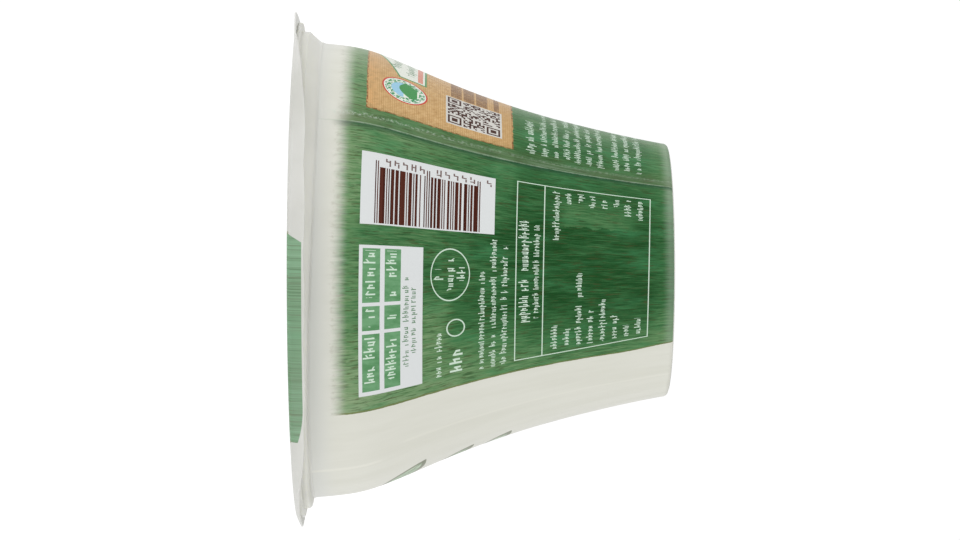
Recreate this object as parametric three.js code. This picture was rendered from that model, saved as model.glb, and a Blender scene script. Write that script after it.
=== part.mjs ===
// A shut pot of ricotta: a moulded pot that flares from a narrow foot to a wide rim, a printed label
// wrapped round its wall, and a sealing film crimped over its rim. The pot can't be seen into, so the
// pot and what it holds are one solid.
// Millimetres, +Z up, origin at the centre of the base. An azimuth is 0 at the front (-Y) and grows
// towards +X.

import * as THREE from "three";

// A multiple of four, so that a corner of each ring lies on X and on Y.
const SEGMENTS = 64;
const TURN = 2 * Math.PI;

// Driving dimensions of the pot.
const FOOT_RADIUS = 27.7;
const FOOT_CORNER = 1.2;
const FOOT_RING_WIDTH = 4.4;
const FOOT_RECESS = 1.2;
const WAIST_RADIUS = 42.8;
const WAIST_HEIGHT = 52.2;
const SHOULDER_RADIUS = 49.66;
const SHOULDER_HEIGHT = 77.2;
const NECK_RADIUS = 52;
const FLANGE_RADIUS = 53.2;
const FLANGE_UNDERSIDE = 78.9;
const FLANGE_TOP = 80.4;
const EDGE_ROUND = 0.3;

// How far the wall leans out, as radius gained for each unit of height.
const FOOT_LEAN = 0.18;
const WAIST_LEAN = 0.44;
const SHOULDER_LEAN = 0.09;

// How far up or down the wall each curve's handle lies from its end.
const FOOT_HANDLE = 22.9;
const BELOW_WAIST_HANDLE = 12.2;
const ABOVE_WAIST_HANDLE = 13.8;
const SHOULDER_HANDLE = 11.4;

// Fineness: points round the foot's corner, and halvings to find the wall's radius at a height.
const FOOT_CORNER_STEPS = 3;
const WALL_HALVINGS = 40;

// Label: a thin wrap let into the wall, clear of it by GAP.
const GAP = 0.3;
const LABEL_THICKNESS = 0.4;
const LABEL_BOTTOM = 1.8;
const LABEL_TOP = 74;
const LABEL_STEPS = 13;
const LABEL_SEAT_DEPTH = GAP + LABEL_THICKNESS;

// Film: a flat disc on the flange, whose brim bends over the flange's edge.
const FILM_THICKNESS = 0.5;
const FILM_TOP = FLANGE_TOP + FILM_THICKNESS;
const FILM_BEND_RADIUS = 54;
const FILM_BEND_WIDTH = 1;
const BRIM_REACH = 2.38;
const BRIM_REACH_AT_FRONT = 1.35;
const BRIM_SLANT = 0.18;
const BRIM_FRONT_FALLOFF = 0.8;
const CRIMP_COUNT = 16;
const CRIMP_START = THREE.MathUtils.degToRad(4);
const CRIMP_DEPTH = 0.35;

// Degrees that the brim droops: all round, less at +X and more at -X, more at the front and back than
// at the sides, and a little more at the front than at the back.
const DROOP_ALL_ROUND = 10;
const DROOP_SIDEWAYS = -22;
const DROOP_FRONT_AND_BACK = 57;
const DROOP_FRONT = 5;

const point = (radius, height) => new THREE.Vector2(radius, height);

// The outside of the wall, as two Bezier curves that meet at the waist: below it the wall is close to
// a cone that opens slowly, above it the wall turns upright towards the shoulder.
const foot = point(FOOT_RADIUS, FOOT_CORNER);
const waist = point(WAIST_RADIUS, WAIST_HEIGHT);
const shoulder = point(SHOULDER_RADIUS, SHOULDER_HEIGHT);
const handle = (end, lean, rise) => point(end.x + lean * rise, end.y + rise);
const lowerWall = new THREE.CubicBezierCurve(
  foot,
  handle(foot, FOOT_LEAN, FOOT_HANDLE),
  handle(waist, WAIST_LEAN, -BELOW_WAIST_HANDLE),
  waist,
);
const upperWall = new THREE.CubicBezierCurve(
  waist,
  handle(waist, WAIST_LEAN, ABOVE_WAIST_HANDLE),
  handle(shoulder, SHOULDER_LEAN, -SHOULDER_HANDLE),
  shoulder,
);

// Both curves rise all the way, so halving finds the one place where the wall is at a height.
function wallRadius(height) {
  const curve = height < WAIST_HEIGHT ? lowerWall : upperWall;
  let low = 0;
  let high = 1;
  for (let halving = 0; halving < WALL_HALVINGS; halving += 1) {
    const middle = (low + high) / 2;
    if (curve.getPoint(middle).y < height) low = middle;
    else high = middle;
  }
  return curve.getPoint(low).x;
}

// The wall between two heights, set back from its outside by a depth, in evenly spaced points.
function wallPoints(fromHeight, toHeight, depth) {
  return Array.from({ length: LABEL_STEPS + 1 }, (_, step) => {
    const height = THREE.MathUtils.lerp(fromHeight, toHeight, step / LABEL_STEPS);
    return point(wallRadius(height) - depth, height);
  });
}

// A quarter round from pointing down to pointing out, about a centre.
function cornerPoints(centreRadius, centreHeight, radius, steps) {
  return Array.from({ length: steps + 1 }, (_, step) => {
    const angle = -Math.PI / 2 + (Math.PI / 2) * (step / steps);
    return point(centreRadius + radius * Math.cos(angle), centreHeight + radius * Math.sin(angle));
  });
}

// Turns a profile about +Z. The profile runs from bottom to top on the outside.
function turned(profile) {
  return new THREE.LatheGeometry(profile, SEGMENTS).rotateX(Math.PI / 2);
}

// The pot stands on a ring. Its wall has a shallow seat for the label, and above that a neck carries
// the flange that the film is sealed to.
function potGeometry() {
  const ringOuter = FOOT_RADIUS - FOOT_CORNER;
  const ringInner = ringOuter - FOOT_RING_WIDTH;
  const seatBottom = LABEL_BOTTOM - GAP;
  const seatTop = LABEL_TOP + GAP;
  return turned([
    point(0, FOOT_RECESS),
    point(ringInner - FOOT_RECESS, FOOT_RECESS),
    point(ringInner, 0),
    ...cornerPoints(ringOuter, FOOT_CORNER, FOOT_CORNER, FOOT_CORNER_STEPS),
    point(wallRadius(seatBottom), seatBottom),
    ...wallPoints(seatBottom, seatTop, LABEL_SEAT_DEPTH),
    point(wallRadius(seatTop), seatTop),
    shoulder,
    point(NECK_RADIUS - 2 * EDGE_ROUND, SHOULDER_HEIGHT + EDGE_ROUND),
    point(NECK_RADIUS, SHOULDER_HEIGHT + 3 * EDGE_ROUND),
    point(NECK_RADIUS, FLANGE_UNDERSIDE),
    point(FLANGE_RADIUS - EDGE_ROUND, FLANGE_UNDERSIDE),
    point(FLANGE_RADIUS, FLANGE_UNDERSIDE + EDGE_ROUND),
    point(FLANGE_RADIUS, FLANGE_TOP - EDGE_ROUND),
    point(FLANGE_RADIUS - EDGE_ROUND, FLANGE_TOP),
    point(0, FLANGE_TOP),
  ]);
}

// The label is a closed band: up its outer face and down its inner face.
function labelGeometry() {
  const outer = wallPoints(LABEL_BOTTOM, LABEL_TOP, 0);
  const inner = wallPoints(LABEL_BOTTOM, LABEL_TOP, LABEL_THICKNESS).reverse();
  return turned([...outer, ...inner, outer[0]]);
}

// How far the film's brim reaches past its bend, and how far it droops, at an azimuth. It folds down
// at the front and back and sticks out at the sides, a little upwards at +X. At the front it reaches
// furthest, and its edge is scalloped by the crimps.
function brimAt(azimuth) {
  const front = Math.max(0, Math.cos(azimuth)) ** BRIM_FRONT_FALLOFF;
  const crimp = 1 - Math.abs(Math.sin((CRIMP_COUNT / 2) * (azimuth - CRIMP_START)));
  const sideways = Math.sin(azimuth);
  const along = Math.cos(azimuth);
  return {
    reach: BRIM_REACH - BRIM_SLANT * sideways + front * (BRIM_REACH_AT_FRONT - CRIMP_DEPTH * crimp),
    droop: THREE.MathUtils.degToRad(
      DROOP_ALL_ROUND + DROOP_SIDEWAYS * sideways + DROOP_FRONT_AND_BACK * along ** 2 + DROOP_FRONT * along,
    ),
  };
}

// The film's outline at an azimuth, from the middle of its top round the brim to the middle of its
// underside. The brim's tip is half as thick as the disc.
function filmProfile(azimuth) {
  const { reach, droop } = brimAt(azimuth);
  const outward = point(Math.cos(droop), -Math.sin(droop));
  const inward = point(-Math.sin(droop), -Math.cos(droop));
  const bend = point(FILM_BEND_RADIUS, FILM_TOP);
  const onBrim = (share, depth) =>
    bend.clone().addScaledVector(outward, share * reach).addScaledVector(inward, depth);
  return [
    point(0, FILM_TOP),
    point(FILM_BEND_RADIUS - FILM_BEND_WIDTH, FILM_TOP),
    bend,
    onBrim(0.5, 0),
    onBrim(1, 0),
    onBrim(1, FILM_THICKNESS / 2),
    onBrim(0.5, FILM_THICKNESS),
    point(FLANGE_RADIUS + GAP, FLANGE_TOP),
    point(0, FLANGE_TOP),
  ];
}

// A closed solid whose outline changes with the azimuth. Each outline starts and ends on the axis and
// runs from the top, round the outside, to the bottom.
function sweptRound(profileAt) {
  const outlines = Array.from({ length: SEGMENTS }, (_, index) => profileAt((index / SEGMENTS) * TURN));
  const pointsEach = outlines[0].length;
  const positions = outlines.flatMap((outline, index) => {
    const azimuth = (index / SEGMENTS) * TURN;
    return outline.flatMap((p) => [p.x * Math.sin(azimuth), -p.x * Math.cos(azimuth), p.y]);
  });
  const faces = [];
  for (let index = 0; index < SEGMENTS; index += 1) {
    const here = index * pointsEach;
    const next = ((index + 1) % SEGMENTS) * pointsEach;
    for (let along = 0; along < pointsEach - 1; along += 1) {
      const leavesAxis = along === 0;
      const meetsAxis = along === pointsEach - 2;
      if (!meetsAxis) faces.push(here + along, here + along + 1, next + along + 1);
      if (!leavesAxis) faces.push(here + along, next + along + 1, next + along);
    }
  }
  const geometry = new THREE.BufferGeometry();
  geometry.setAttribute("position", new THREE.Float32BufferAttribute(positions, 3));
  geometry.setIndex(faces);
  geometry.computeVertexNormals();
  return geometry;
}

function namedMesh(name, geometry, material) {
  const mesh = new THREE.Mesh(geometry, material);
  mesh.name = name;
  return mesh;
}

const milkyPlastic = new THREE.MeshStandardMaterial({ color: 0xd9d9cf, roughness: 0.4, metalness: 0 });
const printedLabel = new THREE.MeshStandardMaterial({ color: 0x2f5a36, roughness: 0.35, metalness: 0 });
const sealingFilm = new THREE.MeshStandardMaterial({ color: 0x7fa582, roughness: 0.3, metalness: 0 });

const ricottaPot = new THREE.Group();
ricottaPot.add(
  namedMesh("pot", potGeometry(), milkyPlastic),
  namedMesh("label", labelGeometry(), printedLabel),
  namedMesh("lid_film", sweptRound(filmProfile), sealingFilm),
);

export default ricottaPot;
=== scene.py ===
"""A shut pot of ricotta: a moulded milky pot, a printed label wrapped round it and a crimped sealing film.

Azimuths are in degrees, 0 at the front (-Y) and growing towards +X. Print sizes are in millimetres.
"""

import logging
import math
from dataclasses import dataclass
from enum import Enum
from functools import lru_cache

import bpy
from mathutils import Matrix, Vector

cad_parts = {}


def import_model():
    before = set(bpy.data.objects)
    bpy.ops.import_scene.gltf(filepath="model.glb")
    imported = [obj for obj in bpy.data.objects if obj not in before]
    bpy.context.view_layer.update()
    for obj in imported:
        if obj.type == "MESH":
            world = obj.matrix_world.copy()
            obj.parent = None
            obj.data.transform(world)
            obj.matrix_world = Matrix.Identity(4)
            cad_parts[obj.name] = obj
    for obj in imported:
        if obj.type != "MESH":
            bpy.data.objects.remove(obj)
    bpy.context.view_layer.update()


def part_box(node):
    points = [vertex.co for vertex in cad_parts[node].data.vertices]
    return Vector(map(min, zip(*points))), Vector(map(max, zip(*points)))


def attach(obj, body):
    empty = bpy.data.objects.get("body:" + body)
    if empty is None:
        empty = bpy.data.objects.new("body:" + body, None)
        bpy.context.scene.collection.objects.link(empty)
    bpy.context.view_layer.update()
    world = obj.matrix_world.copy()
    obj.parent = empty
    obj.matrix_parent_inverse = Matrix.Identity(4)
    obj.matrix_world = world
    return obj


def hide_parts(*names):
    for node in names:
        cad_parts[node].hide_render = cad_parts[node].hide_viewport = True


log = logging.getLogger("ricotta_pot")

MM = 0.001
MERGE_DISTANCE = 2e-6
SHARP_ANGLE = math.radians(38)

# The azimuth of the label's cut edge, and how far the flange and the film pass the CAD pot, in millimetres.
SEAM = 39.4
FLANGE_PAST_CAD = 0.8
FILM_ABOVE_POT = 0.5

Socket = bpy.types.NodeSocket
Colour = tuple[float, float, float, float]
Stops = list[tuple[float, Colour]]
Point = tuple[float, float]
Outline = list[Point]


class Slot(Enum):
    """Three names for the pot's materials; nothing in this script uses them."""

    PLASTIC = "pot_plastic"
    LABEL = "label_print"
    FILM = "film"


def srgb(red: int, green: int, blue: int) -> Colour:
    """A colour given in the usual steps of 0 to 255.

    Args:
        red: Red step.
        green: Green step.
        blue: Blue step.

    Returns:
        The colour in linear values, with full alpha.
    """

    def linear(step: int) -> float:
        """One channel in linear values."""
        share = step / 255
        return share / 12.92 if share <= 0.04045 else ((share + 0.055) / 1.055) ** 2.4

    return (linear(red), linear(green), linear(blue), 1.0)


def blend(low: float, high: float, at: float) -> float:
    """How far `at` has come from low to high, eased at both ends, from 0 to 1."""
    share = min(1.0, max(0.0, (at - low) / (high - low)))
    return share * share * (3 - 2 * share)


def around(azimuth: float, radius: float, height: float) -> Vector:
    """A point on a circle round the pot's axis.

    Args:
        azimuth: Degrees from the front towards +X.
        radius: Millimetres from the axis.
        height: Millimetres above the base.

    Returns:
        The point in metres.
    """
    turn = math.radians(azimuth)
    return Vector((radius * math.sin(turn), -radius * math.cos(turn), height)) * MM


def azimuth_of(point: Vector) -> float:
    """The azimuth of a point in degrees, from -180 to 180."""
    return math.degrees(math.atan2(point.x, -point.y))


# ---------------------------------------------------------------------------------------------
# Shader building
# ---------------------------------------------------------------------------------------------


class Value:
    """A number in a shader. Maths on it adds Math nodes."""

    def __init__(self, paint: "Paint", socket: Socket) -> None:
        """Wraps an output socket of one of the paint's nodes."""
        self.paint = paint
        self.socket = socket

    def _math(self, operation: str, *inputs: "Value | float") -> "Value":
        """Adds one Math node on these inputs."""
        node = self.paint.add("ShaderNodeMath", {"operation": operation}, dict(enumerate(inputs)))
        return Value(self.paint, node.outputs[0])

    def __add__(self, other: "Value | float") -> "Value":
        """Sum."""
        return self._math("ADD", self, other)

    __radd__ = __add__

    def __sub__(self, other: "Value | float") -> "Value":
        """Difference."""
        return self._math("SUBTRACT", self, other)

    def __rsub__(self, other: float) -> "Value":
        """Difference from a number."""
        return self._math("SUBTRACT", other, self)

    def __mul__(self, other: "Value | float") -> "Value":
        """Product."""
        return self._math("MULTIPLY", self, other)

    __rmul__ = __mul__

    def __gt__(self, other: "Value | float") -> "Value":
        """1 where this is the larger, else 0."""
        return self._math("GREATER_THAN", self, other)

    def __lt__(self, other: "Value | float") -> "Value":
        """1 where this is the smaller, else 0."""
        return self._math("LESS_THAN", self, other)

    def floor(self) -> "Value":
        """The whole part."""
        return self._math("FLOOR", self)

    def size(self) -> "Value":
        """The value without its sign."""
        return self._math("ABSOLUTE", self)

    def root(self) -> "Value":
        """The square root."""
        return self._math("SQRT", self)

    def hypot(self, other: "Value") -> "Value":
        """The length of a slanting line that runs this far one way and the other value across."""
        return (self * self + other * other).root()

    def angle_to(self, other: "Value") -> "Value":
        """The angle in radians whose tangent is this over the other value."""
        return self._math("ARCTAN2", self, other)

    def sine(self) -> "Value":
        """The sine of this angle in radians."""
        return self._math("SINE", self)

    def either(self, other: "Value | float") -> "Value":
        """The larger of the two: for masks, one or the other."""
        return self._math("MAXIMUM", self, other)

    def at_most(self, other: "Value | float") -> "Value":
        """The smaller of the two."""
        return self._math("MINIMUM", self, other)

    def within(self, low: float, high: float) -> "Value":
        """1 between two numbers, else 0."""
        return self._math("COMPARE", self, (low + high) / 2, (high - low) / 2)

    def near(self, other: "Value | float", reach: float) -> "Value":
        """1 where the two are no more than reach apart, else 0."""
        return self._math("COMPARE", self, other, reach)

    def times_plus(self, factor: "Value | float", extra: "Value | float") -> "Value":
        """This times factor, plus extra."""
        return self._math("MULTIPLY_ADD", self, factor, extra)

    def rising(self, low: float, high: float) -> "Value":
        """0 up to low, 1 from high, eased between. With low above high it falls instead."""
        node = self.paint.add(
            "ShaderNodeMapRange",
            {"interpolation_type": "SMOOTHSTEP"},
            {"Value": self, "From Min": low, "From Max": high, "To Min": 0.0, "To Max": 1.0},
        )
        return Value(self.paint, node.outputs[0])


class Paint:
    """A material's node tree, with one method for each kind of step used here."""

    def __init__(self, name: str) -> None:
        """Starts an empty material of this name."""
        self.material = bpy.data.materials.new(name)
        self.material.use_nodes = True
        self.tree = self.material.node_tree
        self.tree.nodes.clear()
        self.position = self.add("ShaderNodeTexCoord", {}, {}).outputs["Object"]
        parts = self.add("ShaderNodeSeparateXYZ", {}, {0: self.position}).outputs
        self.x, self.y, self.z = (Value(self, socket) for socket in parts)

    def add(self, kind: str, settings: dict[str, object], inputs: dict) -> bpy.types.Node:
        """Adds a node.

        Args:
            kind: The node's type.
            settings: Its settings by name; the value "stops" fills a colour ramp.
            inputs: A value or a link for each named or numbered socket.

        Returns:
            The new node.
        """
        node = self.tree.nodes.new(kind)
        for name, setting in settings.items():
            if name == "stops":
                self._fill_ramp(node.color_ramp, setting)
            else:
                setattr(node, name, setting)
        for name, entry in inputs.items():
            source = entry.socket if isinstance(entry, Value) else entry
            if isinstance(source, Socket):
                self.tree.links.new(source, node.inputs[name])
            else:
                node.inputs[name].default_value = source
        return node

    @staticmethod
    def _fill_ramp(ramp: bpy.types.ColorRamp, stops: Stops) -> None:
        """Gives a ramp its stops, as pairs of a place and a colour."""
        while len(ramp.elements) > 1:
            ramp.elements.remove(ramp.elements[-1])
        for index, (place, colour) in enumerate(stops):
            element = ramp.elements[0] if index == 0 else ramp.elements.new(place)
            element.position = place
            element.color = colour

    def vector(self, x: Value | float, y: Value | float, z: Value | float) -> Socket:
        """A vector of three values."""
        return self.add("ShaderNodeCombineXYZ", {}, {0: x, 1: y, 2: z}).outputs[0]

    def ramp(self, factor: Value, stops: Stops) -> Socket:
        """A colour read off a ramp."""
        return self.add("ShaderNodeValToRGB", {"stops": stops}, {0: factor}).outputs["Color"]

    def over(self, under: Socket | Colour, top: Socket | Colour, mask: Value) -> Socket:
        """Lays the top colour over the other one where the mask is 1."""
        node = self.add("ShaderNodeMix", {"data_type": "RGBA"}, {0: mask, 6: under, 7: top})
        return node.outputs[2]

    def noise(self, where: Socket, scale: float, detail: float) -> Value:
        """Soft noise about 0.5 at a place."""
        node = self.add(
            "ShaderNodeTexNoise",
            {"noise_dimensions": "3D"},
            {"Vector": where, "Scale": scale, "Detail": detail, "Roughness": 0.6},
        )
        return Value(self, node.outputs[0])

    def pattern(self, x: Value | float, y: Value | float, seed: float, detail: float) -> Value:
        """Soft noise about 0.5 on a sheet laid out flat, where each seed gives another one."""
        return self.noise(self.vector(x, y, seed), 1.0, detail)

    def chance(self, x: Value | float, y: Value | float) -> tuple[Value, Value, Value]:
        """Three random numbers from 0 to 1 for each pair of whole numbers."""
        node = self.add("ShaderNodeTexWhiteNoise", {"noise_dimensions": "2D"}, {0: self.vector(x, y, 0.0)})
        parts = self.add("ShaderNodeSeparateColor", {}, {0: node.outputs["Color"]}).outputs
        return Value(self, parts[0]), Value(self, parts[1]), Value(self, parts[2])

    def bump(self, height: Value, distance: float, strength: float) -> Socket:
        """A relief of this height, in metres for a height of 1."""
        inputs = {"Strength": strength, "Distance": distance, "Height": height}
        return self.add("ShaderNodeBump", {}, inputs).outputs[0]

    def finish(self, constants: dict[str, object], **inputs: Socket | Value) -> bpy.types.Material:
        """Ends the material in one Principled shader.

        Args:
            constants: Values that are the same all over, by socket name.
            inputs: What changes over the surface; an underscore stands for a space.

        Returns:
            The finished material.
        """
        linked = {name.replace("_", " "): source for name, source in inputs.items()}
        shader = self.add("ShaderNodeBsdfPrincipled", {}, constants | linked)
        self.add("ShaderNodeOutputMaterial", {}, {"Surface": shader.outputs[0]})
        return self.material


# ---------------------------------------------------------------------------------------------
# Finishes
# ---------------------------------------------------------------------------------------------


@dataclass(frozen=True)
class WoodGrain:
    """Printed green planks, seen as streaks that run up the pot."""

    darkest: Colour = srgb(14, 72, 24)
    middle: Colour = srgb(52, 106, 58)
    light: Colour = srgb(94, 134, 86)
    lightest: Colour = srgb(134, 158, 118)
    worn_brown: Colour = srgb(66, 66, 28)
    dash: Colour = srgb(24, 64, 22)
    fresh_green: Colour = srgb(60, 132, 82)

    def colour(self, paint: Paint, across: Value, along: Value, tone: Value) -> Socket:
        """The planks' colour.

        Args:
            paint: The material being made.
            across: Millimetres across the grain.
            along: Millimetres along it.
            tone: How pale the print is, from 0 to 1, before the grain; on the label it also holds painted
                sheen towards +X.

        Returns:
            The colour socket.
        """
        wave = paint.pattern(across * 0.12, along * 0.12, 1.0, 2.0)
        across = across + wave * 0.8
        broad = paint.pattern(across * 0.13, along * 0.045, 3.0, 2.0)
        streak = paint.pattern(across * 1.0, along * 0.09, 9.0, 4.0)
        fine = paint.pattern(across * 3.4, along * 0.22, 5.0, 4.0)
        shade = tone + (broad - 0.5) * 0.34 + (streak - 0.5) * 0.42 + (fine - 0.5) * 1.05 + 0.04
        stops = [(0.0, self.darkest), (0.3, self.middle), (0.62, self.light), (1.0, self.lightest)]
        green = paint.ramp(shade, stops)
        patch = paint.pattern(across * 0.22, along * 0.06, 21.0, 3.0)
        green = paint.over(green, self.fresh_green, patch.rising(0.5, 0.72) * 0.5)
        worn = paint.pattern(across * 2.8, along * 0.26, 31.0, 4.0)
        green = paint.over(green, self.worn_brown, worn.rising(0.54, 0.66) * 0.62)
        dash = paint.pattern(across * 3.0, along * 0.22, 47.0, 3.0)
        return paint.over(green, self.dash, dash.rising(0.56, 0.62) * 0.5)


@dataclass(frozen=True)
class PotPlastic:
    """Milky polypropylene, satin, with the faint rings that the mould leaves."""

    shade: Colour = srgb(217, 217, 209)
    cloud: Colour = srgb(211, 211, 203)
    cloud_scale: float = 60.0
    grain_scale: float = 2400.0
    ring_pitch: float = 1.1

    def material(self) -> bpy.types.Material:
        """Builds the material."""
        paint = Paint("milky_polypropylene")
        clouds = paint.noise(paint.position, self.cloud_scale, 3.0)
        rings = (paint.z * (2 * math.pi / (self.ring_pitch * MM))).sine()
        grain = paint.noise(paint.position, self.grain_scale, 2.0)
        relief = rings * 0.12 + grain * 0.5 + clouds
        return paint.finish(
            {
                "Specular IOR Level": 0.35,
                "Subsurface Weight": 0.4,
                "Subsurface Radius": (0.004, 0.004, 0.0032),
                "Subsurface Scale": 0.5,
            },
            Base_Color=paint.over(self.shade, self.cloud, clouds.rising(0.35, 0.7)),
            Roughness=grain * 0.12 + 0.3,
            Normal=paint.bump(relief, 0.04 * MM, 0.5),
        )


@dataclass(frozen=True)
class Field:
    """A rectangle of print: degrees from left to right, millimetres from low to high."""

    left: float
    right: float
    low: float
    high: float

    def grown(self, aside: float, up: float) -> "Field":
        """The rectangle, larger by some degrees and millimetres on every side."""
        return Field(self.left - aside, self.right + aside, self.low - up, self.high + up)


@dataclass(frozen=True)
class TextLine:
    """One printed line of marks that stand for words: where it starts and ends, and how big it is."""

    start: float
    end: float
    base: float
    body: float = 1.07
    width: float = 0.7


@dataclass(frozen=True)
class Leaf:
    """A printed leaf on the front panel, from its stalk to its tip, as degrees off the middle and height."""

    stalk: Point
    tip: Point
    width: float = 5.0


@dataclass(frozen=True)
class LabelInks:
    """The label's flat colours."""

    milky: Colour = srgb(214, 214, 204)
    milky_streak: Colour = srgb(209, 209, 198)
    milky_top: Colour = srgb(211, 212, 206)
    # Painted highlight: a pale line of reflected light on the milky part of the label.
    crease_highlight: Colour = srgb(226, 225, 215)
    faded_spot: Colour = srgb(116, 112, 88)
    pale_at_foot: Colour = srgb(176, 190, 172)
    # Pale colour laid over the green where the label turns round the foot.
    field_edge: Colour = srgb(112, 118, 66)
    speckle: Colour = srgb(140, 138, 116)
    paper: Colour = srgb(212, 215, 215)
    pale: Colour = srgb(210, 228, 212)
    brown: Colour = srgb(84, 34, 12)
    green: Colour = srgb(70, 120, 76)
    kraft_dark: Colour = srgb(170, 130, 80)
    kraft_middle: Colour = srgb(201, 165, 113)
    kraft_light: Colour = srgb(220, 190, 145)
    kraft_warm: Colour = srgb(204, 146, 84)
    kraft_low: Colour = srgb(176, 138, 84)
    kraft_edge: Colour = srgb(118, 70, 30)
    cell_dark: Colour = srgb(84, 138, 90)
    cell_light: Colour = srgb(108, 158, 114)
    bar_dark: Colour = srgb(62, 18, 4)
    bar_brown: Colour = srgb(88, 40, 26)
    code_paper: Colour = srgb(204, 202, 196)
    code_module: Colour = srgb(74, 50, 44)
    emblem_edge: Colour = srgb(196, 66, 54)
    emblem_paper: Colour = srgb(220, 226, 216)
    wreath: Colour = srgb(70, 148, 98)
    sky: Colour = srgb(150, 196, 220)
    hill: Colour = srgb(72, 146, 84)
    emblem_foot: Colour = srgb(226, 230, 218)
    card_edge: Colour = srgb(84, 146, 94)
    card: Colour = srgb(222, 226, 216)
    card_line: Colour = srgb(212, 146, 128)
    block: Colour = srgb(104, 66, 38)
    seam_shadow: Colour = srgb(20, 66, 44)
    seam_olive: Colour = srgb(84, 92, 52)
    seam_strip: Colour = srgb(96, 108, 82)
    seam_cut: Colour = srgb(172, 192, 172)
    # Painted highlight along the overlap's ridge.
    ridge: Colour = srgb(196, 208, 196)
    # Painted highlight on the overlap's wrinkles.
    pleat: Colour = srgb(150, 170, 148)
    leaf_dark: Colour = srgb(140, 166, 134)
    leaf_light: Colour = srgb(178, 196, 170)
    leaf_outline: Colour = srgb(106, 112, 86)
    medallion_ring: Colour = srgb(66, 110, 68)
    medallion_paper: Colour = srgb(222, 222, 210)
    curd_dark: Colour = srgb(196, 194, 180)
    curd_light: Colour = srgb(232, 231, 222)
    clay_dark: Colour = srgb(150, 104, 62)
    clay_light: Colour = srgb(188, 142, 92)
    bowl_lip: Colour = srgb(204, 160, 110)
    ribbon_dark: Colour = srgb(178, 134, 82)
    ribbon_middle: Colour = srgb(205, 166, 112)
    ribbon_light: Colour = srgb(222, 188, 140)


@dataclass(frozen=True)
class LabelPrint:
    """All that is printed on the label, by azimuth and height."""

    wood: WoodGrain = WoodGrain()
    inks: LabelInks = LabelInks()
    recount: float = 128.0
    seam: float = SEAM
    ridge: float = 42.4
    green_left: float = -38.1
    green_right: float = 117.0
    front_middle: float = -140.0
    grain_degree: float = 0.68
    row_slant: float = 0.0108
    row_curve: float = 0.00017
    gloss_grain: float = 1900.0
    kraft: Field = Field(45.2, 108.0, 34.1, 65.1)
    sorting_box: Field = Field(-33.1, 6.2, 53.2, 66.35)
    sorting_note: Field = Field(-33.1, 6.2, 53.2, 57.6)
    bar_box: Field = Field(11.4, 31.0, 38.5, 66.3)
    code: Field = Field(49.9, 64.9, 36.9, 48.0)
    card_line: Field = Field(66.5, 101.5, 53.3, 54.4)

    def material(self, wall: "Wall") -> bpy.types.Material:
        """Builds the label's material.

        Args:
            wall: The pot's wall, for the width of a degree at each height.

        Returns:
            The finished material.
        """
        paint = Paint("printed_label")
        turned = paint.x.angle_to(paint.y * -1.0) * (180 / math.pi)
        azimuth = turned - (turned > self.recount) * 360.0
        radius = paint.x.hypot(paint.y) * (1 / MM)
        height = paint.z * (1 / MM)
        across = azimuth * radius * (math.pi / 180)
        before_seam = azimuth < self.seam
        slant = before_seam * azimuth * (azimuth * self.row_curve + self.row_slant)
        layout = _Layout(paint, azimuth, height + slant, across, height, wall, self)
        colour = layout.colour()
        ripple = paint.pattern(across * 0.12, height * 0.05, 1.0, 3.0)
        grain = paint.noise(paint.position, self.gloss_grain, 2.0)
        return paint.finish(
            {"Specular IOR Level": 0.32},
            Base_Color=colour,
            Roughness=grain * 0.1 + 0.3,
            Normal=paint.bump(ripple * 3.0 + grain * 0.25, 0.1 * MM, 0.55),
        )


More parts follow.
